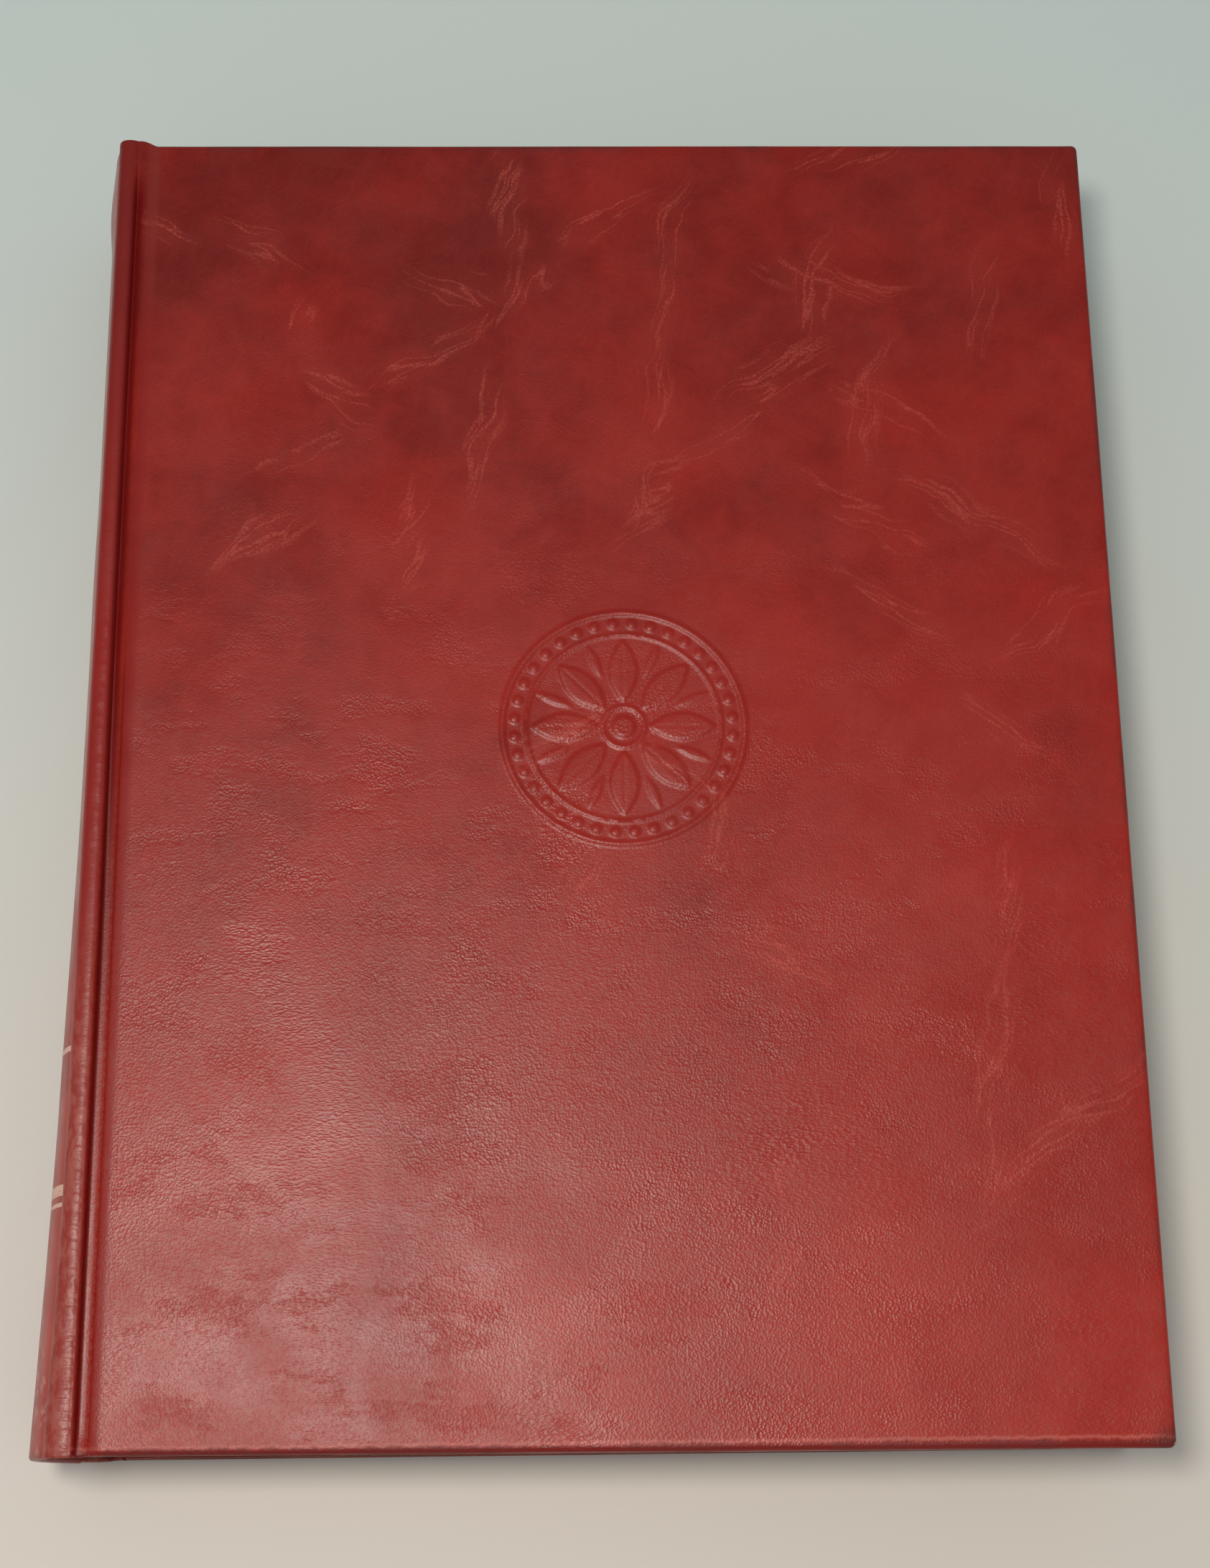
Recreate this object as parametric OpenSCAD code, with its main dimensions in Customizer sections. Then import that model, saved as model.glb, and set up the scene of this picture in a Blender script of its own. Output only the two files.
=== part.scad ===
// Thick case-bound book in red leather, closed and lying face up on its back cover.
// The spine is rounded between two deep joints, and the tail of the spine has sprung outwards.
// X runs from the spine to the fore-edge, Y from the tail to the head, and Z upwards.

/* [Covers] */
// Height of a cover from tail to head
cover_h = 285; // [200:1:340]
// Reach of a cover from the middle of its joint to the fore-edge
cover_w = 212; // [140:1:260]
// Thickness of the closed book over both covers
book_t = 43; // [32:0.5:70]
// Thickness of the leather
leather_t = 0.6; // [0.5:0.05:0.8]
// Thickness of the leather where it is pared and turned in
turn_in_t = 0.35; // [0.2:0.05:0.5]
// Width of the leather turned in round a board
turn_in_w = 15; // [8:1:25]
// Width over which the turned-in leather thins out at the ends of the spine
pare_w = 2; // [1:0.5:4]
// Thickness of the boards
board_t = 3; // [2.6:0.1:4]
// Rounding of a cover's edges
edge_r = 1.2; // [0.4:0.1:1.4]
// Rounding of a cover's corners, seen from above
corner_r = 1.5; // [0.5:0.1:4]

/* [Joints] */
// Depth of the joint's groove below the face of the cover
groove_depth = 2.8; // [2:0.1:3]
// Distance from the middle of the groove to the covered edge of the board
groove_land = 1.8; // [1.2:0.1:2.4]
// Rounding at the foot of the groove
groove_r = 0.9; // [0.3:0.1:1]
// Width of the pressed band beside the groove
press_w = 2.2; // [1:0.1:4]
// Depth of the pressed band at the board's edge
press_depth = 0.35; // [0.1:0.05:0.6]
// Slit between the spine's leather and a cover's leather
joint_slit = 0.3; // [0.2:0.05:0.5]

/* [Spine] */
// Reach of the spine from the middle of the joint
spine_reach = 8.9; // [8.2:0.1:12]
// Further reach of the spine at its tail
tail_flare = 3.6; // [0:0.1:5]
// Height over which the tail flares
tail_flare_h = 140; // [60:1:180]
// Swelling of the spine just below its head
head_swell = 0.9; // [0:0.1:1.5]
// Distance from the middle of the groove to the crest of the shoulder ridge
ridge_x = 2.4; // [2:0.1:2.8]
// Drop of the ridge's crest below the face of the cover
ridge_drop = 0.6; // [0.3:0.1:1]
// Rounding of the ridge's crest
crest_r = 1.6; // [1.3:0.1:1.8]
// Distance from the middle of the groove to the crease beside the spine panel
crease_x = 5.8; // [4.8:0.1:6.2]
// Depth of the crease below the face of the cover
crease_depth = 4; // [3:0.1:5]
// Width of the crease
crease_w = 0.6; // [0.3:0.1:1]
// Depth of the crease in the leather itself
crease_nip = 0.3; // [0:0.05:0.4]
// How far the crease spreads outwards at the tail
crease_spread = 1.5; // [0:0.1:2]
// Height over which the crease spreads
crease_spread_h = 70; // [30:1:120]
// How far the head cap stands past the covers
head_proud = 2.2; // [0.5:0.1:3]
// How far the tail cap stands past the covers
tail_proud = 1; // [0.5:0.1:3]
// Thickness of the card inside the spine panel
inlay_t = 0.5; // [0.4:0.1:0.8]
// Thickness of the glue between the leather and the card
glue_t = 0.05; // [0.04:0.01:0.1]
// Air between the turned-in leather and the lining
hollow_t = 0.1; // [0.05:0.05:0.5]

/* [Leaves] */
// How far the covers stand past the leaves at head and tail
square_y = 3.5; // [1:0.5:6]
// How far the covers stand past the leaves at the fore-edge
square_x = 4; // [1:0.5:7]
// Depth of the hollow curve of the fore-edge
fore_hollow = 4.5; // [1:0.5:8]
// Distance from the middle of the groove to the foot of the leaves' shoulder
shoulder_foot = 1; // [0.5:0.1:2]
// Air between the leaves' shoulder and the leather over it
seat_gap = 0.15; // [0.1:0.05:0.3]
// Thickness of the paper and gauze lining on the leaves' back
lining_t = 0.4; // [0.2:0.1:0.8]
// Thickness of a flyleaf
flyleaf_t = 0.2; // [0.1:0.05:0.4]
// Thickness of a pastedown
paste_t = 0.2; // [0.1:0.05:0.4]
// Leather left bare round a pastedown
paste_margin = 4; // [2:0.5:8]
// Air between a closed cover and its flyleaf
cover_gap = 0.3; // [0.2:0.05:0.5]
// Radius of the bead of a headband
band_r = 1.1; // [0.6:0.1:1.5]
// Thickness of a headband's cloth tongue
tongue_t = 0.3; // [0.2:0.1:0.4]
// Height of a headband's cloth tongue
tongue_h = 8; // [4:0.5:14]

/* [Decoration] */
// Radius of the blind ornament on the front cover
ornament_r = 26; // [18:0.5:40]
// Height of the ornament above the leather
ornament_h = 0.4; // [0.2:0.05:0.6]
// Height of the ornament's middle above the middle of the cover
ornament_rise = 4; // [-20:0.5:20]
// Number of petals in the rosette
petals = 8; // [6:1:12]
// Number of beads in the ring
beads = 36; // [24:1:48]
// Thickness of the gilding on the spine
gilt_t = 0.06; // [0.04:0.01:0.1]
// Height of the single gilt band above the tail
upper_band_y = 79.6; // [60:0.1:110]
// Width of the single gilt band
upper_band_w = 1.2; // [0.6:0.1:3]
// Height of the broad gilt band above the tail
broad_band_y = 50.4; // [40:0.1:58]
// Width of the broad gilt band
broad_band_w = 2.3; // [1:0.1:3]
// Gap between the broad band and the fine band below it
fine_band_gap = 1.3; // [0.5:0.1:3]
// Width of the fine gilt band
fine_band_w = 0.9; // [0.5:0.1:2]

/* [Hidden] */
$fn = 96;

// Room for cuts that run past a face
past = 1;
// Air under the gilding, whose facets don't quite match the leather's
gilt_clear = 0.01;

// Thickness of a cover without and with its pastedown
wrap_t = leather_t + board_t + turn_in_t;
cover_t = wrap_t + paste_t;
// Covered edge of the board, and the board's own edge
board_x = groove_land + leather_t;
// Lowest and highest leaf, and the ends of the leaves
leaves_z0 = cover_t + cover_gap + flyleaf_t;
leaves_z1 = book_t - leaves_z0;
leaves_y0 = square_y;
leaves_y1 = cover_h - square_y;
leaves_x1 = cover_w - square_x;
spine_mid = book_t / 2;

// Ends of the spine's leather, and of the card that it is turned in over
tail_end = -tail_proud;
head_end = cover_h + head_proud;
inlay_y0 = tail_end + leather_t;
inlay_y1 = head_end - leather_t;

// Depth of the spine's layers: leather turned in over the card, then the leaves under their lining
inlay_depth = leather_t + glue_t;
panel_t = inlay_depth + inlay_t + turn_in_t;
back_depth = panel_t + hollow_t + max(lining_t, tongue_t);
shoulder_depth = leather_t + turn_in_t + seat_gap;

// Gilt bands on the spine, as their lowest height and their width
fine_band_y = broad_band_y - fine_band_gap - fine_band_w;
bands = [[fine_band_y, fine_band_w], [broad_band_y, broad_band_w], [upper_band_y, upper_band_w]];

// Middle of the whole book in plan, which the origin lies under
centre_x = (cover_w - spine_reach - tail_flare) / 2;
centre_y = (head_end + tail_end) / 2;

leather_red = [0.55, 0.13, 0.12];
paper_cream = [0.9, 0.85, 0.72];
board_grey = [0.5, 0.48, 0.42];
gilt = [0.8, 0.64, 0.3];

function mix(a, b, t) = a + (b - a) * t;
function tail_share(y, span, power) = pow(max(0, min(1, 1 - y / span)), power);

// The swelling starts this far below the covers' upper edge, and is this high
swell_below = 24;
swell_span = 28;

// Reach of the spine and place of its crease at a height y
function swell(y) = let (t = (y - cover_h + swell_below) / swell_span)
    t > 0 && t < 1 ? (1 - cos(360 * t)) / 2 : 0;
function reach(y) = spine_reach + tail_flare * tail_share(y, tail_flare_h, 1.15)
    + head_swell * swell(y);
function crease(y) = crease_x + crease_spread * tail_share(y, crease_spread_h, 2);

// The ridge's flank, as [x, depth]: an arc out of the groove, and one that meets it over the crest
foot_steps = 3;
crest_steps = 4;
fall_steps = 6;
panel_steps = 8;
function ridge_rise() =
    let (run = ridge_x - joint_slit / 2, climb = groove_depth - ridge_drop)
    let (turn = 2 * atan(climb / run), foot_r = (run * run + climb * climb) / (2 * climb) - crest_r)
    concat(
        [for (i = [0:foot_steps - 1]) let (a = turn * i / foot_steps)
            [-joint_slit / 2 - foot_r * sin(a), groove_depth - foot_r * (1 - cos(a))]],
        [for (i = [0:crest_steps]) let (a = turn * (1 - i / crest_steps))
            [crest_r * sin(a) - ridge_x, ridge_drop + crest_r * (1 - cos(a))]]);

// From the crest down into the crease, which nips in at its end
function ridge_fall(fold, nip) = [for (i = [1:fall_steps])
    let (a = 90 * i / fall_steps, dip = i == fall_steps ? nip : 0)
    [mix(-ridge_x, -fold, sin(a)) + dip, mix(crease_depth, ridge_drop, cos(a))]];

// The spine panel is an arc between the creases
function panel_r(out, fold) = let (sag = out - fold, half = spine_mid - crease_depth)
    (half * half + sag * sag) / (2 * sag);
function panel_edge(out, fold) = let (r = panel_r(out, fold))
    asin((spine_mid - crease_depth) / r) - crease_w / r * 180 / PI;
function panel_half(out, fold) = let (r = panel_r(out, fold), edge = panel_edge(out, fold))
    [for (i = [0:panel_steps]) let (a = edge * (1 - i / panel_steps))
        [r - out - r * cos(a), spine_mid - r * sin(a)]];

// The whole outline from the front groove round to the back groove, as [x, z]
function both_sides(half) = concat(
    [for (p = half) [p[0], book_t - p[1]]],
    [for (i = [len(half) - 2:-1:0]) half[i]]);
function spine_path(out, fold, nip) =
    both_sides(concat(ridge_rise(), ridge_fall(fold, nip), panel_half(out, fold)));
ridge_count = foot_steps + crest_steps + 1 + fall_steps;
path_count = 2 * (ridge_count + panel_steps) + 1;
function on_panel(i) = i >= ridge_count && i < path_count - ridge_count;

// A path moved inwards, square to itself, by the depth given for each of its points
function inward(path, i) =
    let (a = path[max(i - 1, 0)], b = path[min(i + 1, len(path) - 1)])
    [a[1] - b[1], b[0] - a[0]] / norm(b - a);
function sunk(path, depths) = [for (i = [0:len(path) - 1]) path[i] + depths[i] * inward(path, i)];
function sunk_panel(out, fold, depth) =
    let (path = sunk(spine_path(out, fold, 0), [for (i = [1:path_count]) depth]))
    [for (i = [0:path_count - 1]) if (on_panel(i)) path[i]];
function backwards(path) = [for (i = [len(path) - 1:-1:0]) path[i]];

// A ring at height y that runs along a face and back along its lining
function ring_at(y, face, lining) = [for (p = concat(face, backwards(lining))) [p[0], y, p[1]]];
function panel_ring(y, d0, d1) =
    ring_at(y, sunk_panel(reach(y), crease(y), d0), sunk_panel(reach(y), crease(y), d1));

// A ring of the spine's leather at height y: turned_in is 1 where it is doubled over and 0
// elsewhere, and a is how far its end has rounded over, in degrees
function leather_ring(y, turned_in, a) =
    let (wall = [for (i = [0:path_count - 1])
        leather_t + turned_in * (on_panel(i) ? panel_t - leather_t : turn_in_t)])
    let (eased = (1 - cos(a)) / 2)
    ring_at(y, sunk(spine_path(reach(y), crease(y), crease_nip), eased * wall),
        sunk(spine_path(reach(y), crease(y), 0), (1 - eased) * wall));

// Heights at which the spine's section is drawn, one list for each stretch of its leather
function sorted(v) = len(v) < 2 ? v : concat(
    sorted([for (x = v) if (x < v[0]) x]),
    [v[0]],
    sorted([for (x = v) if (x > v[0]) x]));
function far_from_bands(y) = min([for (b = bands) abs(y - b[0] - b[1] / 2) - b[1] / 2]) > 1;
cap_turns = [84, 60, 30];
flare_shares = [0.25, 0.42, 0.6, 0.8, 1];
turn_low = turn_in_w;
turn_high = cover_h - turn_in_w;
pared_low = turn_low + pare_w;
pared_high = turn_high - pare_w;
flare_heights = [for (t = flare_shares) let (y = t * tail_flare_h)
    if (y > pared_low + past && y < pared_high - swell_below && far_from_bands(y)) y];
band_heights = [for (b = bands) each [b[0], b[0] + b[1]]];
swell_start = min(pared_high - past, cover_h - swell_below);
middle_heights = concat(sorted(concat(flare_heights, band_heights)), [swell_start]);
cap_heights = concat([for (t = [1:3]) mix(turn_high, inlay_y1, t / 4)], [inlay_y1]);

// A closed skin through rings that each run along a face and back along its lining
module skin(rings) {
    n = len(rings[0]);
    half = n / 2;
    last = (len(rings) - 1) * n;
    sides = [for (j = [0:len(rings) - 2], i = [0:n - 1])
        let (a = j * n + i, b = j * n + (i + 1) % n)
        each [[a, b, b + n], [a, b + n, a + n]]];
    first_end = [for (i = [0:half - 2]) [i, n - 1 - i, n - 2 - i, i + 1]];
    last_end = [for (f = first_end) [f[3] + last, f[2] + last, f[1] + last, f[0] + last]];
    polyhedron([for (r = rings) each r], concat(sides, first_end, last_end), convexity = 6);
}

// Shapes drawn in a section and drawn out along Y or along X
module along_y(y0, y1) {
    translate([0, y1, 0]) rotate([90, 0, 0]) linear_extrude(y1 - y0) children();
}
module along_x(x0, x1) {
    translate([x0, 0, 0]) rotate([90, 0, 90]) linear_extrude(x1 - x0) children();
}
module rounded_rect(x0, y0, x1, y1, r) {
    translate([x0 + r, y0]) square([x1 - x0 - 2 * r, y1 - y0]);
    translate([x0, y0 + r]) square([x1 - x0, y1 - y0 - 2 * r]);
    for (x = [x0 + r, x1 - r], y = [y0 + r, y1 - r]) {
        translate([x, y]) circle(r);
    }
}

// A cover is drawn with its outer face at height 0 and the middle of its groove at x 0
module on_front() {
    translate([0, 0, book_t]) children();
}
module on_back() {
    mirror([0, 0, 1]) children();
}
module in_place() {
    translate([-centre_x, -centre_y, 0]) children();
}

// Section of a cover across its height: the wrapped board, and the leather down into the groove
module cover_section() {
    foot_r = min(groove_r, groove_depth - press_depth - edge_r, groove_land - joint_slit / 2);
    press_slope = press_depth / press_w;
    difference() {
        union() {
            rounded_rect(groove_land, -wrap_t, cover_w, 0, edge_r);
            translate([joint_slit / 2, -groove_depth - leather_t])
                square([board_x - joint_slit / 2, leather_t]);
            difference() {
                translate([groove_land - foot_r, -groove_depth])
                    square([foot_r + leather_t, foot_r]);
                translate([groove_land - foot_r, foot_r - groove_depth]) circle(foot_r);
            }
        }
        polygon([
            [groove_land - past, past],
            [groove_land - past, -press_slope * (press_w + past)],
            [groove_land + press_w, 0],
            [groove_land + press_w, past]
        ]);
    }
}

// Outline of a cover from above, round at its two outer corners
module cover_plan() {
    rounded_rect(groove_land, 0, cover_w, cover_h, corner_r);
    square([groove_land + corner_r, cover_h]);
}

module board() {
    translate([board_x, leather_t, -leather_t - board_t])
        cube([cover_w - leather_t - board_x, cover_h - 2 * leather_t, board_t]);
}

// The bare part of the board that the turned-in leather leaves, as deep as asked
module turn_in_window(inset, depth) {
    margin = leather_t + turn_in_w + inset;
    translate([inset - past, margin, -leather_t - board_t - depth])
        cube([cover_w - margin - inset + past, cover_h - 2 * margin, depth]);
}

module cover_leather() {
    difference() {
        intersection() {
            along_y(0, cover_h) cover_section();
            along_x(0, cover_w) rounded_rect(0, -wrap_t, cover_h, 0, edge_r);
            translate([0, 0, -wrap_t]) linear_extrude(wrap_t) cover_plan();
        }
        board();
        turn_in_window(0, turn_in_t + past);
    }
}

// A paper sheet glued down inside a cover, which steps over the edge of the turned-in leather
module pastedown() {
    full_t = turn_in_t + paste_t;
    difference() {
        translate([board_x, paste_margin, -cover_t])
            cube([cover_w - paste_margin - board_x, cover_h - 2 * paste_margin, full_t]);
        difference() {
            translate([0, 0, -wrap_t]) cube([cover_w, cover_h, turn_in_t + past]);
            turn_in_window(0, turn_in_t + past);
        }
        translate([0, 0, -paste_t]) turn_in_window(paste_t, turn_in_t + past);
    }
}

// A pointed leaf shape from radius r0 to radius r1, w wide at its middle
module petal(r0, r1, w) {
    half = (r1 - r0) / 2;
    arc_r = (half * half + w * w / 4) / w;
    translate([(r0 + r1) / 2, 0]) intersection() {
        translate([0, arc_r - w / 2]) circle(arc_r);
        translate([0, w / 2 - arc_r]) circle(arc_r);
    }
}

module ring(r, w) {
    difference() {
        circle(r + w / 2);
        circle(r - w / 2);
    }
}

// A rosette in a beaded ring, all of it drawn as shares of the ornament's radius
module ornament() {
    step = 360 / petals;
    bead_r = 0.24 * 2 * PI * ornament_r / beads;
    translate([0, 0, -leather_t / 2]) linear_extrude(leather_t / 2 + ornament_h) {
        ring(ornament_r * 0.98, ornament_r * 0.04);
        ring(ornament_r * 0.79, ornament_r * 0.025);
        for (i = [1:beads]) {
            rotate(i * 360 / beads) translate([ornament_r * 0.885, 0]) circle(bead_r);
        }
        for (i = [1:petals]) {
            rotate(i * step) petal(ornament_r * 0.22, ornament_r * 0.74, ornament_r * 2.1 / petals);
            rotate((i + 0.5) * step) petal(ornament_r * 0.46, ornament_r * 0.76, ornament_r * 0.08);
        }
        ring(ornament_r * 0.17, ornament_r * 0.03);
        circle(ornament_r * 0.1);
    }
}

module front_board() {
    color(board_grey) on_front() board();
}

module back_board() {
    color(board_grey) on_back() board();
}

module front_cover_leather() {
    color(leather_red) on_front() {
        cover_leather();
        translate([(groove_land + cover_w) / 2, cover_h / 2 + ornament_rise, 0]) ornament();
    }
}

module back_cover_leather() {
    color(leather_red) on_back() cover_leather();
}

module front_pastedown() {
    color(paper_cream) on_front() pastedown();
}

module back_pastedown() {
    color(paper_cream) on_back() pastedown();
}

// Section of the leaves: a rounded back with a shoulder at each side, and a hollow fore-edge
module leaves_section() {
    half = spine_mid - leaves_z0;
    hollow_r = (half * half + fore_hollow * fore_hollow) / (2 * fore_hollow);
    depths = [for (i = [0:path_count - 1]) on_panel(i) ? back_depth : shoulder_depth];
    difference() {
        polygon(concat(
            sunk(spine_path(spine_reach, crease_x, 0), depths),
            [[shoulder_foot, leaves_z0], [leaves_x1, leaves_z0]],
            [[leaves_x1, leaves_z1], [shoulder_foot, leaves_z1]]));
        translate([leaves_x1 - fore_hollow + hollow_r, spine_mid]) circle(hollow_r);
    }
}

module text_block() {
    color(paper_cream) along_y(leaves_y0, leaves_y1) leaves_section();
}

module flyleaf() {
    translate([shoulder_foot, leaves_y0, 0])
        cube([leaves_x1 - shoulder_foot, leaves_y1 - leaves_y0, flyleaf_t]);
}

module front_flyleaf() {
    color(paper_cream) translate([0, 0, leaves_z1]) flyleaf();
}

module back_flyleaf() {
    color(paper_cream) translate([0, 0, leaves_z0 - flyleaf_t]) flyleaf();
}

// A layer laid on the leaves' back between the two creases
module back_layer(layer) {
    polygon(concat(
        sunk_panel(spine_reach, crease_x, back_depth - layer),
        backwards(sunk_panel(spine_reach, crease_x, back_depth))));
}

module spine_lining() {
    color(board_grey) along_y(leaves_y0 + tongue_h, leaves_y1 - tongue_h) back_layer(lining_t);
}

// A bead along the end of the leaves' back, on a cloth tongue glued down below it
module end_band() {
    r = panel_r(spine_reach, crease_x);
    edge = panel_edge(spine_reach, crease_x);
    bead_r = r - back_depth + tongue_t + hollow_t / 2 - band_r;
    translate([r - spine_reach, band_r, spine_mid]) rotate([90, 0, 0]) rotate(180 - edge)
        rotate_extrude(angle = 2 * edge) translate([bead_r, 0]) circle(band_r);
    along_y(-tongue_h, band_r) back_layer(tongue_t);
}

module headband() {
    color("firebrick") translate([0, leaves_y1, 0]) end_band();
}

module tailband() {
    color("firebrick") translate([0, leaves_y0, 0]) mirror([0, 1, 0]) end_band();
}

// Card that stiffens the spine panel, as long as the leather turned over its ends allows
module spine_inlay() {
    heights = concat([inlay_y0, pared_low], middle_heights, [pared_high], cap_heights);
    color(board_grey)
        skin([for (y = heights) panel_ring(y, inlay_depth, inlay_depth + inlay_t)]);
}

// The leather over the shoulders and the spine panel, turned in over the card at both ends
module spine_leather() {
    tail_cap = [for (a = cap_turns) leather_ring(tail_end + leather_t * (1 - sin(a)), 1, a)];
    head_cap = [for (a = backwards(cap_turns))
        leather_ring(head_end - leather_t * (1 - sin(a)), 1, a)];
    tail_turned = [for (y = [inlay_y0, turn_low]) leather_ring(y, 1, 0)];
    single = [for (y = concat([pared_low], middle_heights, [pared_high])) leather_ring(y, 0, 0)];
    head_turned = [for (y = concat([turn_high], cap_heights)) leather_ring(y, 1, 0)];
    color(leather_red) difference() {
        skin(concat(tail_cap, tail_turned, single, head_turned, head_cap));
        spine_inlay();
    }
}

// Gilt lines across the spine panel, in low relief
module gilt_bands() {
    color(gilt) for (b = bands) {
        skin([for (y = [b[0], b[0] + b[1]]) panel_ring(y, -gilt_clear - gilt_t, -gilt_clear)]);
    }
}

in_place() text_block();
in_place() front_flyleaf();
in_place() back_flyleaf();
in_place() spine_lining();
in_place() headband();
in_place() tailband();
in_place() spine_inlay();
in_place() spine_leather();
in_place() gilt_bands();
in_place() front_board();
in_place() front_cover_leather();
in_place() front_pastedown();
in_place() back_board();
in_place() back_cover_leather();
in_place() back_pastedown();
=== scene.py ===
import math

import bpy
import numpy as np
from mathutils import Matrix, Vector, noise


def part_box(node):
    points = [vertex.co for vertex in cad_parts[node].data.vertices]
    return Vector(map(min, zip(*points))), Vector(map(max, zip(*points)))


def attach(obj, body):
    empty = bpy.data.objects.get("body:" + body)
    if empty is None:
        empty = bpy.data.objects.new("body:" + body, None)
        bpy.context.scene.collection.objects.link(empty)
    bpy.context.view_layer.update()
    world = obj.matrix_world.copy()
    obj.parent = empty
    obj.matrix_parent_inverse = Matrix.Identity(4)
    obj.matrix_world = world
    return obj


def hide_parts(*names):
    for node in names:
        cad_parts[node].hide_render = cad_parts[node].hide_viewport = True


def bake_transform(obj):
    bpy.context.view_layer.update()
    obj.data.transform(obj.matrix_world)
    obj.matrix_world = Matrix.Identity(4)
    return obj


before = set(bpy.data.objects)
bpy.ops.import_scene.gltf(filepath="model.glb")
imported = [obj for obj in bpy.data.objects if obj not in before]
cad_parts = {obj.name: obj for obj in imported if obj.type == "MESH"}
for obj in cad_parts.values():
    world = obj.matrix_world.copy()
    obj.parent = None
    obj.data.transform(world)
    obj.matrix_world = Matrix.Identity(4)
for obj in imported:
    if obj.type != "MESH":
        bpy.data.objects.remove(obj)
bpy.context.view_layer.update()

# A thick red leather book, closed and lying face up: its leather and leaves are made here,
# round the imported solids, and its endpapers and head bands get their finishes.
# Lengths are in millimetres in the book's own frame: x from the middle of the joint's groove
# to the fore-edge, y from the tail to the head, z up from the face that the book lies on.

# The frame, in metres, gives the book's size and place. The tail end of the spine's leather
# stands TAIL_TRIM less far out than on the solids
MM = 0.001
TAIL_TRIM = 0.7
JOINT_SLIT = 0.3
LEATHER_T = 0.6
TURNED_T = 0.35
cover_low, cover_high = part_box("back_cover_leather")
board_low, board_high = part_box("front_board")
leaves_low, leaves_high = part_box("text_block")
fly_low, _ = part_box("front_flyleaf")
spine_low, spine_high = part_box("spine_leather")
ORIGIN = Vector((cover_low.x - JOINT_SLIT / 2 * MM, cover_low.y, 0))
COVER_W = (cover_high.x - ORIGIN.x) / MM
COVER_H = (cover_high.y - cover_low.y) / MM
BOOK_T = board_high.z / MM + LEATHER_T
BOARD_T = (board_high.z - board_low.z) / MM
WRAP_T = LEATHER_T + BOARD_T + TURNED_T
HEAD_END = (spine_high.y - ORIGIN.y) / MM
TAIL_END = (spine_low.y - ORIGIN.y) / MM + TAIL_TRIM
MID = BOOK_T / 2

# The covers, the joint and the spine, as the solids have them
TURN_IN = 15
EDGE_R = 1.2
CORNER_R = 1.5
GROOVE_DEPTH = 2.8
GROOVE_LAND = 1.8
GROOVE_R = 0.9
BOARD_X = GROOVE_LAND + LEATHER_T
PRESS_W = 2.2
PRESS_DEPTH = 0.35
SPINE_REACH = 8.9
TAIL_FLARE = 3.6
TAIL_FLARE_H = 140
FLARE_POWER = 1.15
HEAD_SWELL = 0.9
SWELL_BELOW = 24
SWELL_SPAN = 28
RIDGE_X = 2.4
RIDGE_DROP = 0.6
CREST_R = 1.6
CREASE_X = 5.8
CREASE_DEPTH = 4
CREASE_W = 0.6
CREASE_SPREAD = 1.5
CREASE_SPREAD_H = 70
PANEL_END_T = 1.5
BACK_DEPTH = 2.0
FORE_EDGE_HOLLOW = 4.5

# The photographed spine is a little wider still at the tail, and narrower along the upper part
TAIL_EXTRA = 0.4
TAIL_EXTRA_H = 60
NARROWED = 0.45
REACH_NARROWED_FROM = 150
REACH_NARROWED_SPAN = 90
CREASE_NARROWED_FROM = 90
CREASE_NARROWED_SPAN = 150

# The blind ornament on the front cover
ORNAMENT_R = 26
ORNAMENT_H = 0.4
ORNAMENT_RISE = 4
ORNAMENT = ((GROOVE_LAND + COVER_W) / 2, COVER_H / 2 + ORNAMENT_RISE)
PETALS = 8
BEADS = 36

# Gilt bands on the spine: the height that each starts at and its width, then how far their
# faces stand above the leather and their backs below it
BANDS = ((48.2, 0.9), (50.4, 2.3), (79.6, 1.2))
GILT_RISE = 0.05
GILT_SUNK = 0.04

# The card in the spine, inside its leather
CARD_AT = LEATHER_T + 0.15
CARD_T = 0.7
CARD_END = 0.7

# Lengths of the meshes' steps: over the ornament, over the rest of a cover, along the spine
FINE_STEP = 0.4
COARSE_STEP = 2.6
SPINE_STEP = 1.6
CARD_STEP = 4


def smooth(t):
    t = np.clip(t, 0, 1)
    return t * t * (3 - 2 * t)


def mix(a, b, t):
    return a + (b - a) * t


def arc_radius(half, sag):
    """Radius of the arc with half the chord and the height given."""
    return (half * half + sag * sag) / (2 * sag)


def rounded_inset(d, r):
    """How far a face draws back at the distance d from an end rounded with radius r."""
    return r - math.sqrt(max(0.0, r * r - (r - min(d, r)) ** 2))


def reach(y):
    """How far the spine stands out from the joint at height y."""
    t = np.clip((y - COVER_H + SWELL_BELOW) / SWELL_SPAN, 0, 1)
    flare = TAIL_FLARE * np.clip(1 - y / TAIL_FLARE_H, 0, 1) ** FLARE_POWER
    flare += TAIL_EXTRA * smooth((TAIL_EXTRA_H - y) / TAIL_EXTRA_H)
    flare -= NARROWED * smooth((y - REACH_NARROWED_FROM) / REACH_NARROWED_SPAN)
    return SPINE_REACH + flare + HEAD_SWELL * (1 - math.cos(2 * math.pi * t)) / 2


def crease(y):
    """How far the crease beside the spine's panel lies from the joint at height y."""
    narrowed = NARROWED * smooth((y - CREASE_NARROWED_FROM) / CREASE_NARROWED_SPAN)
    return CREASE_X - narrowed + CREASE_SPREAD * np.clip(1 - y / CREASE_SPREAD_H, 0, 1) ** 2


def soft_min(a, b, sharpness):
    return -math.log(math.exp(-sharpness * a) + math.exp(-sharpness * b)) / sharpness


def hum(x, y, z, seed=0.0):
    """Smooth noise between about -1 and 1."""
    return noise.noise(Vector((x + seed, y - seed, z + seed * 0.37)))


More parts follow.
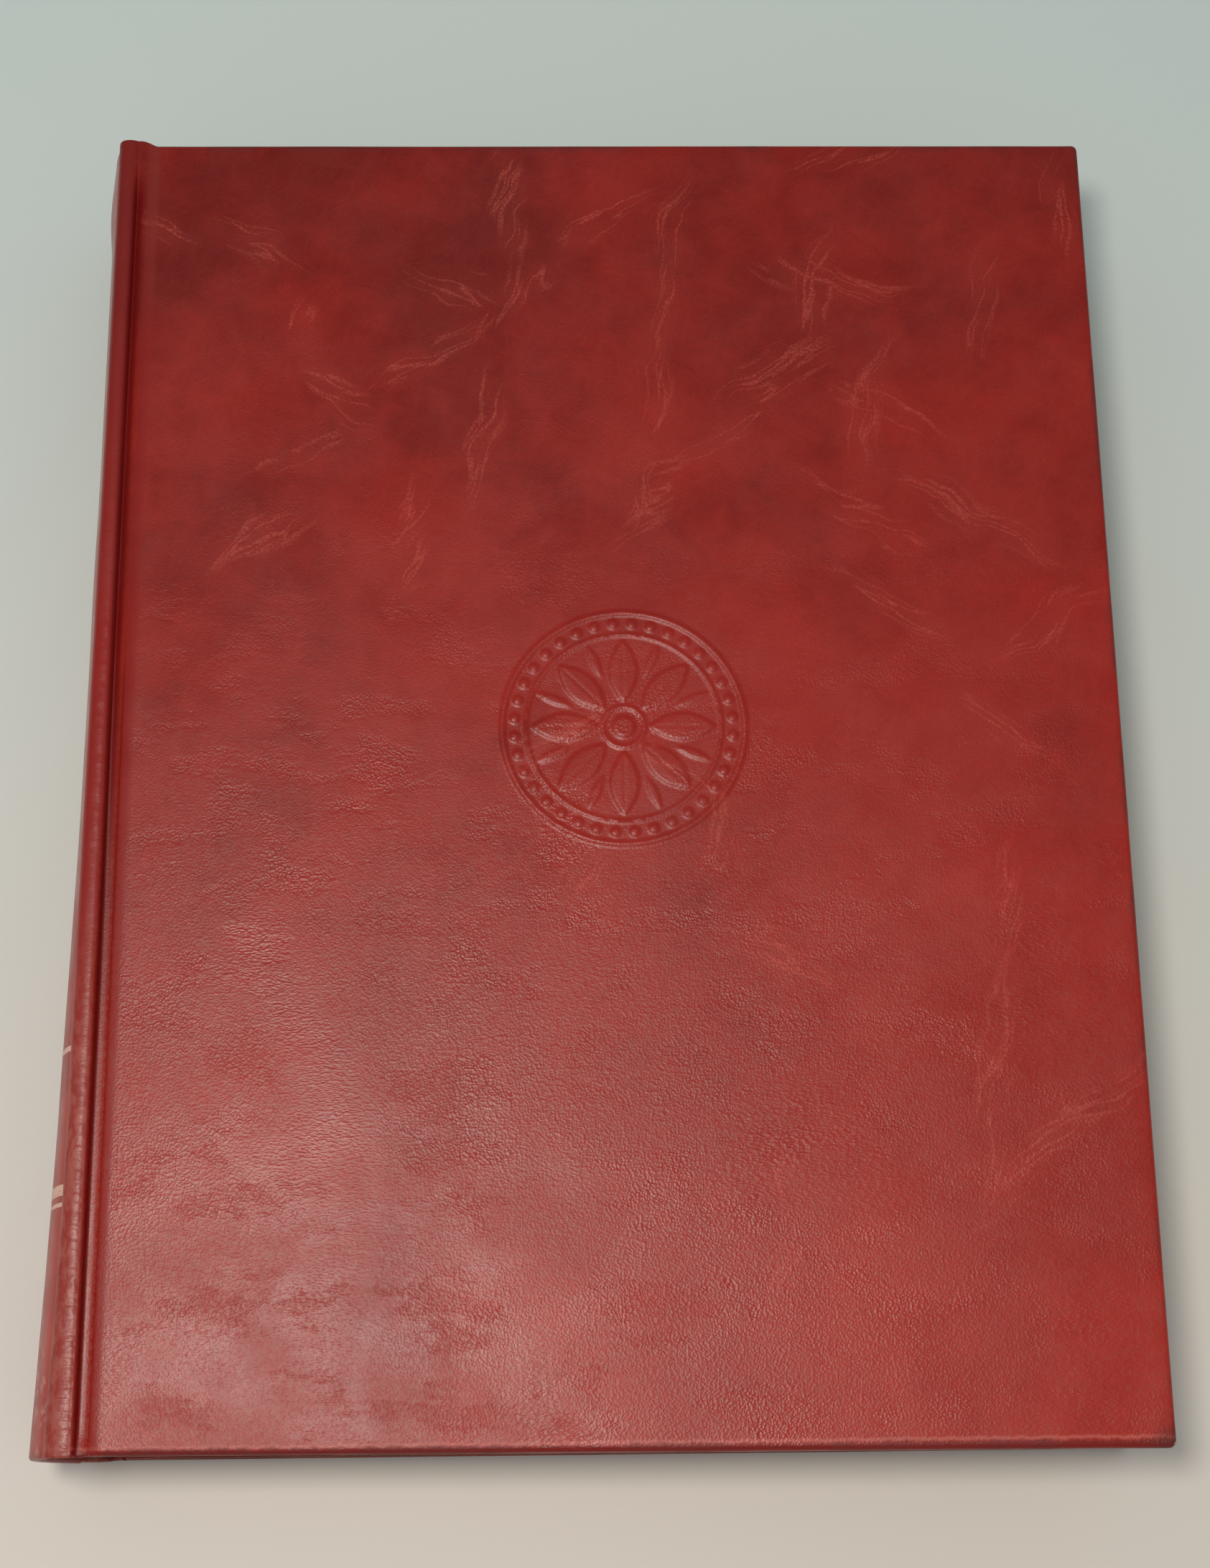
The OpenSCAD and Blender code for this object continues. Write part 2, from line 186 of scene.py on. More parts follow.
def to_frame(points):
    return [(ORIGIN.x + p[0] * MM, ORIGIN.y + p[1] * MM, p[2] * MM) for p in points]


# Meshes

def mesh_object(name, points, faces, material, smooth_angle=40):
    mesh = bpy.data.meshes.new(name)
    mesh.from_pydata(to_frame(points), [], faces)
    mesh.validate()
    rest = mesh.attributes.new("rest", "FLOAT_VECTOR", "POINT")
    rest.data.foreach_set("vector", np.array([v.co for v in mesh.vertices], np.float32).ravel())
    mesh.materials.append(material)
    obj = bpy.data.objects.new(name, mesh)
    bpy.context.scene.collection.objects.link(obj)
    mesh.polygons.foreach_set("use_smooth", [True] * len(mesh.polygons))
    mesh.set_sharp_from_angle(angle=math.radians(smooth_angle))
    mesh.update()
    return obj


def zipped(ring, half, paired):
    """Faces that close a ring whose first half runs along a face and the rest back under it:
    the paired points face each other, and the others are matched by their x."""
    top = list(range(half))
    under = list(range(len(ring) - 1, half - 1, -1))
    faces = [(top[i], under[i], under[i + 1], top[i + 1]) for i in range(paired - 1)]
    i = j = paired - 1
    while i < len(top) - 1 or j < len(under) - 1:
        step_top = j == len(under) - 1
        if not step_top and i < len(top) - 1:
            step_top = ring[top[i + 1]][0] <= ring[under[j + 1]][0]
        if step_top:
            faces.append((top[i], under[j], top[i + 1]))
            i += 1
        else:
            faces.append((top[i], under[j], under[j + 1]))
            j += 1
    return faces


def loft(sections, flip=False, half=0, paired=0):
    """Faces of a closed tube through sections of equal length, with both ends capped."""
    n = len(sections[0])
    faces = []
    for j in range(len(sections) - 1):
        for i in range(n):
            a, b = j * n + i, j * n + (i + 1) % n
            faces.append((a, b, b + n, a + n))
    last = (len(sections) - 1) * n
    if half:
        faces += zipped(sections[0], half, paired)
        faces += [tuple(last + i for i in f[::-1]) for f in zipped(sections[-1], half, paired)]
    else:
        faces.append(tuple(range(n))[::-1])
        faces.append(tuple(last + i for i in range(n)))
    if flip:
        faces = [f[::-1] for f in faces]
    return faces


def spread(a, b, step):
    """Even values from a up to but not b, no further apart than step."""
    count = max(1, math.ceil(abs(b - a) / step))
    return [mix(a, b, i / count) for i in range(count)]


# Section of the joint, from the crease over the ridge and the groove to the cover's face

FALL_STEPS = 14
FALL_POWER = 0.75
CREST_STEPS = 7
FOOT_STEPS = 5
LAND_STEPS = 6
RIM_STEPS = 7
PRESS_COLUMNS = (3.4, 3.8)

# The groove fills up at its ends: its depth there, how far the fill reaches, the share of it at
# each end, and how much of the shape is left
FILLED_DEPTH = 0.9
FILLED_END_X = 4.6
HEAD_FILL = 0.95
HEAD_FILL_FROM = 14
HEAD_FILL_SPAN = 10
TAIL_FILL = 0.45
TAIL_FILL_SPAN = 5
LEFT_IN_FILL = 0.15

# The groove's wall leans back along the upper half
LEAN_DEPTH = 2.3
LEAN_SPAN = 4.9
LEAN_POWER = 2.15
LEAN_LEFT = -1.6
LEAN_FROM = 100
LEAN_BLEND = 80
LEAN_SHARPNESS = 2.5


def joint_line(y):
    """Outer face of the joint's leather at height y, as (x, depth) from the crease to the face."""
    fold = crease(y)
    nip = [(-fold + 0.5, CREASE_DEPTH + 0.9), (-fold + 0.15, CREASE_DEPTH + 0.35)]
    fall = [
        (mix(-RIDGE_X, -fold, math.sin(a) ** FALL_POWER),
         mix(CREASE_DEPTH, RIDGE_DROP, math.cos(a) ** FALL_POWER))
        for a in [math.pi / 2 * (1 - i / FALL_STEPS) for i in range(FALL_STEPS)]
    ]
    run = RIDGE_X - JOINT_SLIT / 2
    climb = GROOVE_DEPTH - RIDGE_DROP
    turn = 2 * math.atan(climb / run)
    foot_r = (run * run + climb * climb) / (2 * climb) - CREST_R
    crest = [
        (CREST_R * math.sin(a) - RIDGE_X, RIDGE_DROP + CREST_R * (1 - math.cos(a)))
        for a in [turn * i / CREST_STEPS for i in range(CREST_STEPS + 1)]
    ]
    foot = [
        (-JOINT_SLIT / 2 - foot_r * math.sin(a), GROOVE_DEPTH - foot_r * (1 - math.cos(a)))
        for a in [turn * (1 - i / FOOT_STEPS) for i in range(1, FOOT_STEPS + 1)]
    ]
    land = [
        (GROOVE_LAND - GROOVE_R + GROOVE_R * math.sin(a), GROOVE_DEPTH - GROOVE_R * (1 - math.cos(a)))
        for a in [math.pi / 2 * i / LAND_STEPS for i in range(LAND_STEPS + 1)]
    ]
    rim = [
        (GROOVE_LAND + EDGE_R - EDGE_R * math.cos(a), EDGE_R - EDGE_R * math.sin(a))
        for a in [math.pi / 2 * i / RIM_STEPS for i in range(RIM_STEPS + 1)]
    ]
    slope = PRESS_DEPTH / PRESS_W
    pressed_end = GROOVE_LAND + PRESS_W
    rim = [(x, max(d, slope * max(0, pressed_end - x))) for x, d in rim]
    face = [(x, slope * (pressed_end - x)) for x in PRESS_COLUMNS] + [(pressed_end + 0.4, 0)]
    line = nip + fall + crest + foot + [(0, GROOVE_DEPTH)] + land + rim + face
    return [(x, filled(x, d, y)) for x, d in line]


def filled(x, depth, y):
    """Along the upper half the groove is shallow and its wall leans back. Just before the head
    and the tail it fills up, and the rim beside it sinks."""
    if x > LEAN_LEFT:
        lean = LEAN_DEPTH * max(0.0, (FILLED_END_X - x) / LEAN_SPAN) ** LEAN_POWER
        if x <= GROOVE_LAND:
            lean = soft_min(depth, lean, LEAN_SHARPNESS)
        depth = mix(depth, lean, smooth((y - LEAN_FROM) / LEAN_BLEND))
    at_head = HEAD_FILL * smooth((y - COVER_H + HEAD_FILL_FROM) / HEAD_FILL_SPAN)
    at_tail = TAIL_FILL * smooth((TAIL_FILL_SPAN - y) / TAIL_FILL_SPAN)
    level = FILLED_DEPTH * smooth((FILLED_END_X - x) / FILLED_END_X)
    if x < -RIDGE_X or (x < 0 and depth < level):
        return depth
    return float(mix(depth, level + LEFT_IN_FILL * (depth - level), max(at_head, at_tail)))


def eased(line, times):
    """The line with its corners worn round, its two ends kept."""
    pts = np.array(line, float)
    for _ in range(times):
        pts[1:-1] = 0.25 * pts[:-2] + 0.5 * pts[1:-1] + 0.25 * pts[2:]
    return pts


def normals(line):
    """Unit normals of a line drawn from left to right, pointing to its upper side."""
    pts = np.array(line, float)
    along = np.gradient(pts, axis=0)
    along /= np.linalg.norm(along, axis=1)[:, None]
    return np.column_stack([-along[:, 1], along[:, 0]])


# The ornament: eight petals round a boss, in a ring of beads, low and soft. Its radii and
# widths are shares of the whole's radius

OUTER_RING = 0.98
INNER_RING = 0.79
BEAD_RING = 0.885
BEAD_R = 0.037
EYE_RING = 0.17
BOSS_R = 0.09
SOFT_EDGE = 0.013
RIB_W = 0.014


def ornament_height(x, y):
    dx, dy = x - ORNAMENT[0], y - ORNAMENT[1]
    r = math.hypot(dx, dy) / ORNAMENT_R
    if r > OUTER_RING + 0.05:
        return 0.0
    angle = math.atan2(dy, dx)

    def ring(at, half):
        return float(smooth((half + SOFT_EDGE - abs(r - at)) / (2 * SOFT_EDGE)))

    def petal(step, offset, r0, r1, width):
        turn = (angle / step + offset) % 1 - 0.5
        along = r * math.cos(turn * step)
        across = abs(r * math.sin(turn * step))
        t = (along - r0) / (r1 - r0)
        if not 0 < t < 1:
            return 0.0
        edge = width / 2 * math.sin(math.pi * t) ** 0.8
        body = float(smooth((edge - across) / (1.6 * SOFT_EDGE)))
        rib = float(smooth(1 - across / RIB_W)) * 0.35
        return body * (0.75 + 0.25 * (1 - across / max(edge, 1e-6)) - rib)

    step = 2 * math.pi / PETALS
    bead_step = 2 * math.pi / BEADS
    bead_turn = ((angle / bead_step) % 1 - 0.5) * bead_step
    bead = math.hypot(r * math.sin(bead_turn), r * math.cos(bead_turn) - BEAD_RING)
    parts = [
        ring(OUTER_RING, 0.02),
        ring(INNER_RING, 0.012) * 0.8,
        float(smooth((BEAD_R + SOFT_EDGE - bead) / (2 * SOFT_EDGE))),
        petal(step, 0.5, 0.2, 0.75, 0.25),
        petal(step, 0.0, 0.44, 0.77, 0.085) * 0.8,
        ring(EYE_RING, 0.015) * 0.8,
        float(smooth((BOSS_R + 0.015 - r) / 0.03)),
    ]
    return ORNAMENT_H * max(parts)


# Leather of a cover: one closed loop for each height, lofted from the tail to the head. The head
# edges stand out a little, the front cover's tail edge runs out at the fore-edge, and the back
# one's is tucked in

HEAD_REACH = 0.4
HEAD_BLEND = 26
TAIL_SKEW = 0.8
TAIL_TUCK = 0.3
TAIL_BLEND = 22
END_INSETS = (0, 0.04, 0.16, 0.35, 0.6, 0.9)
ARC_STEPS = 6
FLOOR_COLUMNS = 12
JOINT_END_R = 0.5
COVER_WAVE = 0.12
COVER_RIPPLE = 0.03
CORNER_REACH = 8
CORNER_SHARE = 0.8


def head_rise(x):
    """How far the leather over the joint stands past the cover's head edge, as a share."""
    return float(smooth((4.2 - x) / 4.5))


def tail_rise(x):
    """The same for the tail edge."""
    return float(smooth((3.0 - x) / 6.0))


def cover_heights(fine):
    end = list(END_INSETS) + [EDGE_R]
    low = TURN_IN + LEATHER_T
    if fine:
        a, b = ORNAMENT[1] - ORNAMENT_R - 1, ORNAMENT[1] + ORNAMENT_R + 1
        middle = spread(low + 0.05, a, COARSE_STEP)
        middle += spread(a, b, FINE_STEP)
        middle += spread(b, COVER_H - low - 0.05, COARSE_STEP)
    else:
        middle = spread(low + 0.05, COVER_H - low - 0.05, COARSE_STEP)
    heights = end + spread(EDGE_R + 1, low, COARSE_STEP) + [low] + middle
    heights += [COVER_H - low - 0.05, COVER_H - low]
    heights += spread(COVER_H - low + 1.5, COVER_H - EDGE_R - 1, COARSE_STEP)
    heights += [COVER_H - e for e in end[::-1]]
    return heights


def face_columns(fine):
    start = GROOVE_LAND + PRESS_W + 1
    stop = COVER_W - EDGE_R
    if not fine:
        return spread(start, stop, COARSE_STEP)
    a, b = ORNAMENT[0] - ORNAMENT_R - 1, ORNAMENT[0] + ORNAMENT_R + 1
    return spread(start, a, COARSE_STEP) + spread(a, b, FINE_STEP) + spread(b, stop, COARSE_STEP)


def crinkle(x, y, seed):
    """Height of the wrinkles in the ridge, stronger towards the tail."""
    strength = mix(0.05, 0.14, 1 - y / COVER_H)
    over = math.exp(-((x + RIDGE_X + 0.8) / 1.6) ** 2)
    wave = hum(x * 0.25, y * 0.42, 0, seed) + 0.6 * hum(x * 0.6, y * 1.1 + x * 0.4, 0, seed + 9)
    return strength * over * wave


def end_radius(x):
    """Rounding of the ends: small over the joint, larger over the board."""
    return float(mix(JOINT_END_R, EDGE_R, smooth((x + 0.5) / 4)))


def cover_section(y, fine, seed):
    """One loop round a cover's leather at height y: its (x, depth) points in order, the ways
    that they face, the radii that round its ends over, and how many lie on the face and over
    the joint."""
    doubled = y < TURN_IN or y > COVER_H - TURN_IN
    lining = LEATHER_T + (TURNED_T if doubled else 0)
    line = eased(joint_line(y), 2)
    up = normals(np.column_stack([line[:, 0], -line[:, 1]]))
    inner = np.column_stack([line[:, 0] - up[:, 0] * lining, line[:, 1] + up[:, 1] * lining])
    loop, away, radius = [], [], []

    def add(x, depth, nx, nz, r):
        loop.append((x, depth))
        away.append((nx, nz))
        radius.append(r)

    for (x, d), n in zip(line, up):
        lift = crinkle(x, y, seed) if x < GROOVE_LAND else 0
        add(x + n[0] * lift, d - n[1] * lift, n[0], n[1], end_radius(x))
    for x in face_columns(fine):
        relief = ornament_height(x, y) if fine else 0
        wave = COVER_WAVE * hum(x * 0.02, y * 0.02, 0, seed)
        wave += COVER_RIPPLE * hum(x * 0.09, y * 0.09, 0, seed + 5)
        wave *= float(smooth((x - 6) / 12))
        add(x, -relief - wave, 0, 1, EDGE_R)
    for a in [math.pi / 2 * (1 - i / ARC_STEPS) for i in range(ARC_STEPS + 1)]:
        nx, nz = math.cos(a), math.sin(a)
        add(COVER_W - EDGE_R + EDGE_R * nx, EDGE_R * (1 - nz), nx, nz, EDGE_R)
    half = len(loop)
    for a in [-math.pi / 2 * i / ARC_STEPS for i in range(ARC_STEPS + 1)]:
        nx, nz = math.cos(a), math.sin(a)
        add(COVER_W - EDGE_R + EDGE_R * nx, WRAP_T - EDGE_R * (1 + nz), nx, nz, EDGE_R)
    inside = TURN_IN + LEATHER_T
    bare = inside < y < COVER_H - inside
    floor = WRAP_T - (TURNED_T - 0.03 if bare else 0)
    add(COVER_W - inside * 0.5, WRAP_T, 0, -1, EDGE_R)
    add(COVER_W - inside, WRAP_T, 0, -1, EDGE_R)
    add(COVER_W - inside - 0.05, floor, 0, -1, EDGE_R)
    for i in range(1, FLOOR_COLUMNS):
        add(mix(COVER_W - inside, BOARD_X + 0.05, i / FLOOR_COLUMNS), floor, 0, -1, EDGE_R)
    add(BOARD_X + 0.05, floor, 0, -1, EDGE_R)
    add(BOARD_X, WRAP_T, 0, -1, EDGE_R)
    add(GROOVE_LAND + 0.2, WRAP_T, 0, -1, end_radius(GROOVE_LAND))
    add(GROOVE_LAND, WRAP_T - 0.15, -1, 0, end_radius(GROOVE_LAND))
    joint = [q for q in zip(line, inner, up) if q[0][0] < GROOVE_LAND - 0.3]
    for (face_x, _), (x, d), n in joint[::-1]:
        d = max(d, RIDGE_DROP + lining) if face_x < 0 else GROOVE_DEPTH + lining
        add(x, d, -n[0], -n[1], end_radius(x))
    return loop, away, radius, (half, len(joint))


def moved_end(x, y, side):
    """The height that a point of a cover moves to, near its head and its tail."""
    if y > COVER_H / 2:
        high = (HEAD_END - COVER_H) * head_rise(x) + HEAD_REACH * (1 - head_rise(x))
        return y + high * float(smooth((y - COVER_H + HEAD_BLEND) / (HEAD_BLEND - 2)))
    low = TAIL_END * tail_rise(x)
    low += -TAIL_SKEW * x / COVER_W if side == "front" else TAIL_TUCK
    return y + low * float(smooth((TAIL_BLEND - y) / (TAIL_BLEND - 2)))


def cover_points(side, fine, seed):
    sections = []
    for y in cover_heights(fine):
        loop, away, radius, split = cover_section(y, fine, seed)
        d = min(y, COVER_H - y)
        ring = []
        for (x, depth), (nx, nz), r in zip(loop, away, radius):
            inset = rounded_inset(d, r)
            px = x - nx * inset
            pz = depth + nz * inset
            if x > COVER_W - CORNER_REACH:
                corner = rounded_inset(d, CORNER_R)
                share = float(smooth((x - COVER_W + CORNER_REACH) / 6)) * CORNER_SHARE
                px -= (corner - min(inset, corner)) * share
            z = BOOK_T - pz if side == "front" else pz
            ring.append((px, moved_end(x, y, side), z))
        sections.append(ring)
    return sections, split


def cover_leather(side, material):
    fine = side == "front"
    sections, (half, paired) = cover_points(side, fine, 3.0 if fine else 41.0)
    points = [p for ring in sections for p in ring]
    faces = loft(sections, fine, half, paired)
    return mesh_object(side + "_leather", points, faces, material)


# Leather over the spine panel, between the creases, with thick folded caps at both ends

PANEL_STEPS = 22
NIP_STEPS = 6
NIP = 0.5
CAP_R = 0.72
PANEL_WAVE = 0.1
PANEL_END_INSETS = (0, 0.05, 0.15, 0.3, 0.5, 0.75)


def panel_section(y):
    """The panel's outer and inner (x, z) points at height y, and the ways that they face."""
    out, fold = reach(y), crease(y)
    half = MID - CREASE_DEPTH
    r = arc_radius(half, out - fold)
    edge = math.asin(half / r) - CREASE_W / r
    near_end = min(y - TAIL_END, HEAD_END - y)
    thick = PANEL_END_T if near_end < TURN_IN else LEATHER_T
    outer, inner, away = [], [], []
    for i in range(-PANEL_STEPS, PANEL_STEPS + 1):
        a = edge * i / PANEL_STEPS
        nx, nz = -math.cos(a), math.sin(a)
        nip = NIP * max(0.0, abs(i) / PANEL_STEPS * NIP_STEPS - NIP_STEPS + 1) ** 2
        x, z = r - out + r * nx, MID + r * nz
        outer.append((x + nip, z))
        inner.append((x - nx * thick + nip, z - nz * thick))
        away.append((nx, nz))
    return outer, inner, away


def panel_heights():
    end = PANEL_END_INSETS
    low, high = TAIL_END, HEAD_END
    middle = spread(low + 1.2, low + TURN_IN - 0.05, SPINE_STEP) + [low + TURN_IN - 0.05]
    middle += spread(low + TURN_IN, high - TURN_IN, SPINE_STEP) + [high - TURN_IN]
    middle += spread(high - TURN_IN + 0.05, high - 1.2, SPINE_STEP)
    return [low + e for e in end] + middle + [high - e for e in end[::-1]]


def panel_wave(x, y, z):
    return PANEL_WAVE * hum(x * 0.05, y * 0.045, z * 0.05, 77)


def spine_panel(material):
    sections = []
    for y in panel_heights():
        outer, inner, away = panel_section(y)
        inset = rounded_inset(min(y - TAIL_END, HEAD_END - y), CAP_R)
        ring = []
        for (x, z), (nx, nz) in zip(outer, away):
            lift = panel_wave(x, y, z) - inset
            ring.append((x + nx * lift, y, z + nz * lift))
        for (x, z), (nx, nz) in list(zip(inner, away))[::-1]:
            ring.append((x + nx * inset, y, z + nz * inset))
        sections.append(ring)
    points = [p for ring in sections for p in ring]
    half = len(sections[0]) // 2
    return mesh_object("spine_panel_leather", points, loft(sections, True, half, half), material)


def inlay_card(material):
    """The card under the panel's leather, which follows it."""
    sections = []
    top = HEAD_END - CARD_END
    for y in spread(TAIL_END + CARD_END, top, CARD_STEP) + [top]:
        outer, _, away = panel_section(y)
        pairs = list(zip(outer, away))[1:-1]
        ring = [(x - nx * CARD_AT, y, z - nz * CARD_AT) for (x, z), (nx, nz) in pairs]
        depth = CARD_AT + CARD_T
        ring += [(x - nx * depth, y, z - nz * depth) for (x, z), (nx, nz) in pairs[::-1]]
        sections.append(ring)
    points = [p for ring in sections for p in ring]
    half = len(sections[0]) // 2
    return mesh_object("inlay_card", points, loft(sections, True, half, half), material)


def gilt_lines(material):
    """Thin strips that lie on the panel's leather."""
    points, faces = [], []
    for low, width in BANDS:
        sections = []
        for y in (low, low + 0.12, low + width / 2, low + width - 0.12, low + width):
            outer, _, away = panel_section(y)
            rise = -0.02 if y in (low, low + width) else GILT_RISE
            face = []
            under = []
            for (x, z), (nx, nz) in zip(outer, away):
                wave = panel_wave(x, y, z)
                up, down = wave + rise, wave - GILT_SUNK
                face.append((x + nx * up, y, z + nz * up))
                under.append((x + nx * down, y, z + nz * down))
            sections.append(face + under[::-1])
        first = len(points)
        points += [p for ring in sections for p in ring]
        half = len(sections[0]) // 2
        faces += [tuple(i + first for i in f) for f in loft(sections, True, half, half)]
    return mesh_object("gilt_lines", points, faces, material)


# The leaves: gatherings that stand a little proud of each other at the three cut edges

GATHERINGS = 40
LEAF_SINK = 0.14
LEAF_SHIFT = 0.22
CUT_STEPS = 24
FORE_EDGE_STEPS = 32
BACK_STEPS = 8


def leaves_outline(z, lower, upper):
    """Left and right ends of the leaves at height z."""
    panel_r = arc_radius(MID - CREASE_DEPTH, SPINE_REACH - CREASE_X)
    centre_x = panel_r - SPINE_REACH
    left = centre_x - math.sqrt(max(0.0, (panel_r - BACK_DEPTH) ** 2 - (z - MID) ** 2))
    hollow_r = arc_radius((upper - lower) / 2, FORE_EDGE_HOLLOW)
    hollow_x = (leaves_high.x - ORIGIN.x) / MM - FORE_EDGE_HOLLOW + hollow_r
    return left, hollow_x - math.sqrt(max(0.0, hollow_r ** 2 - (z - MID) ** 2))


def leaves(material):
    lower, upper = BOOK_T - fly_low.z / MM, fly_low.z / MM
    y0 = (leaves_low.y - ORIGIN.y) / MM
    y1 = (leaves_high.y - ORIGIN.y) / MM
    step = (upper - lower) / GATHERINGS
    levels = []
    for g in range(GATHERINGS):
        shift = [LEAF_SHIFT * hum(g * 0.83, 4.1, k * 3.3, 5) for k in range(3)]
        for share, sink in ((0.0, LEAF_SINK), (0.12, 0.03), (0.5, 0.0), (0.88, 0.03)):
            levels.append((lower + step * (g + share), sink, shift))
    levels.append((upper, LEAF_SINK, shift))
    sections = []
    for z, sink, shift in levels:
        left, right = leaves_outline(z, lower, upper)
        right = right - sink + shift[0]
        head, tail = y1 - sink + shift[1], y0 + sink + shift[2]
        sections.append(leaf_ring(left, right, tail, head, z))
    points = [p for ring in sections for p in ring]
    return mesh_object("leaves", points, loft(sections), material, 30)


def leaf_ring(left, right, tail, head, z):
    ring = []
    for i in range(CUT_STEPS):
        x = mix(left, right, i / CUT_STEPS)
        ring.append((x, tail + 0.1 * hum(x * 0.06, 0, z * 0.3, 2), z))
    for i in range(FORE_EDGE_STEPS):
        y = mix(tail, head, i / FORE_EDGE_STEPS)
        ring.append((right + 0.12 * hum(y * 0.05, 7, z * 0.3, 3), y, z))
    for i in range(CUT_STEPS):
        x = mix(right, left, i / CUT_STEPS)
        ring.append((x, head + 0.1 * hum(x * 0.06, 3, z * 0.3, 4), z))
    for i in range(BACK_STEPS):
        ring.append((left, mix(head, tail, i / BACK_STEPS), z))
    return ring


# Materials

def srgb(r, g, b):
    def linear(c):
        c /= 255
        return c / 12.92 if c <= 0.04045 else ((c + 0.055) / 1.055) ** 2.4
    return (linear(r), linear(g), linear(b), 1)


class Nodes:
    """A short way to write a material's nodes."""

    def __init__(self, name, coordinate="rest"):
        self.material = bpy.data.materials.new(name)
        self.material.use_nodes = True
        self.tree = self.material.node_tree
        self.tree.nodes.clear()
        self.out = self.tree.nodes.new("ShaderNodeOutputMaterial")
        self.shader = self.tree.nodes.new("ShaderNodeBsdfPrincipled")
        self.link(self.shader.outputs[0], self.out.inputs["Surface"])
        if coordinate == "rest":
            node = self.tree.nodes.new("ShaderNodeAttribute")
            node.attribute_name = "rest"
            self.place = node.outputs["Vector"]
        else:
            self.place = self.tree.nodes.new("ShaderNodeTexCoord").outputs["Object"]

    def link(self, a, b):
        self.tree.links.new(a, b)

    def put(self, socket, value):
        if isinstance(value, bpy.types.NodeSocket):
            self.link(value, socket)
        else:
            socket.default_value = value

    def math(self, operation, a, b=0.0, c=0.0):
        node = self.tree.nodes.new("ShaderNodeMath")
        node.operation = operation
        for i, value in enumerate((a, b, c)):
            self.put(node.inputs[i], value)
        return node.outputs[0]

    def add(self, a, b):
        return self.math("ADD", a, b)

    def times(self, a, b):
        return self.math("MULTIPLY", a, b)

    def vector(self, operation, a, b=None):
        node = self.tree.nodes.new("ShaderNodeVectorMath")
        node.operation = operation
        self.put(node.inputs[0], a)
        if b is not None:
            self.put(node.inputs[3 if operation == "SCALE" else 1], b)
        return node.outputs[0]

    def axes(self, where=None):
        node = self.tree.nodes.new("ShaderNodeSeparateXYZ")
        self.link(where or self.place, node.inputs[0])
        return node.outputs

    def book_place(self):
        """The place in millimetres in the book's own frame."""
        return self.vector("SCALE", self.vector("SUBTRACT", self.place, tuple(ORIGIN)), 1000)

    def dot(self, where, direction):
        node = self.tree.nodes.new("ShaderNodeVectorMath")
        node.operation = "DOT_PRODUCT"
        self.link(where, node.inputs[0])
        node.inputs[1].default_value = direction
        return node.outputs["Value"]

    def combine(self, x, y, z):
        node = self.tree.nodes.new("ShaderNodeCombineXYZ")
        for i, value in enumerate((x, y, z)):
            self.put(node.inputs[i], value)
        return node.outputs[0]

    def between(self, value, low, high, soft):
        """1 from low to high, 0 outside, with edges as soft as asked."""
        rise = self.ramp(value, low - soft, low + soft)
        return self.times(rise, self.ramp(value, high - soft, high + soft, 1.0, 0.0))

    def noise(self, where, scale, detail=2.0, rough=0.5, warp=0.0):
        node = self.tree.nodes.new("ShaderNodeTexNoise")
        self.link(where, node.inputs["Vector"])
        node.inputs["Scale"].default_value = scale
        node.inputs["Detail"].default_value = detail
        node.inputs["Roughness"].default_value = rough
        node.inputs["Distortion"].default_value = warp
        return node.outputs[0]

    def noise_vector(self, where, scale, detail=2.0):
        node = self.tree.nodes.new("ShaderNodeTexNoise")
        self.link(where, node.inputs["Vector"])
        node.inputs["Scale"].default_value = scale
        node.inputs["Detail"].default_value = detail
        return self.vector("SUBTRACT", node.outputs["Color"], (0.5, 0.5, 0.5))

    def cells(self, where, scale):
        """Distance to the nearest of scattered points, across x and y."""
        node = self.tree.nodes.new("ShaderNodeTexVoronoi")
        node.voronoi_dimensions = "2D"
        self.link(where, node.inputs["Vector"])
        node.inputs["Scale"].default_value = scale
        return node.outputs["Distance"]

    def ramp(self, value, low, high, to_low=0.0, to_high=1.0):
        """A smooth step from to_low to to_high, as the value goes from low to high."""
        node = self.tree.nodes.new("ShaderNodeMapRange")
        node.interpolation_type = "SMOOTHSTEP"
        self.put(node.inputs["Value"], value)
        node.inputs["From Min"].default_value = low
        node.inputs["From Max"].default_value = high
        node.inputs["To Min"].default_value = to_low
        node.inputs["To Max"].default_value = to_high
        return node.outputs["Result"]

    def colour(self, share, a, b):
        """From colour a to colour b."""
        node = self.tree.nodes.new("ShaderNodeMix")
        node.data_type = "RGBA"
        self.put(node.inputs["Factor"], share)
        self.put(node.inputs[6], a)
        self.put(node.inputs[7], b)
        return node.outputs[2]

    def bump(self, height, distance):
        node = self.tree.nodes.new("ShaderNodeBump")
        node.inputs["Strength"].default_value = 1.0
        node.inputs["Distance"].default_value = distance
        self.put(node.inputs["Height"], height)
        return node.outputs[0]

    def finish(self, base, roughness, normal=None, **constant):
        self.put(self.shader.inputs["Base Color"], base)
        self.put(self.shader.inputs["Roughness"], roughness)
        if normal is not None:
            self.link(normal, self.shader.inputs["Normal"])
        for name, value in constant.items():
            self.shader.inputs[name.replace("_", " ")].default_value = value
        return self.material
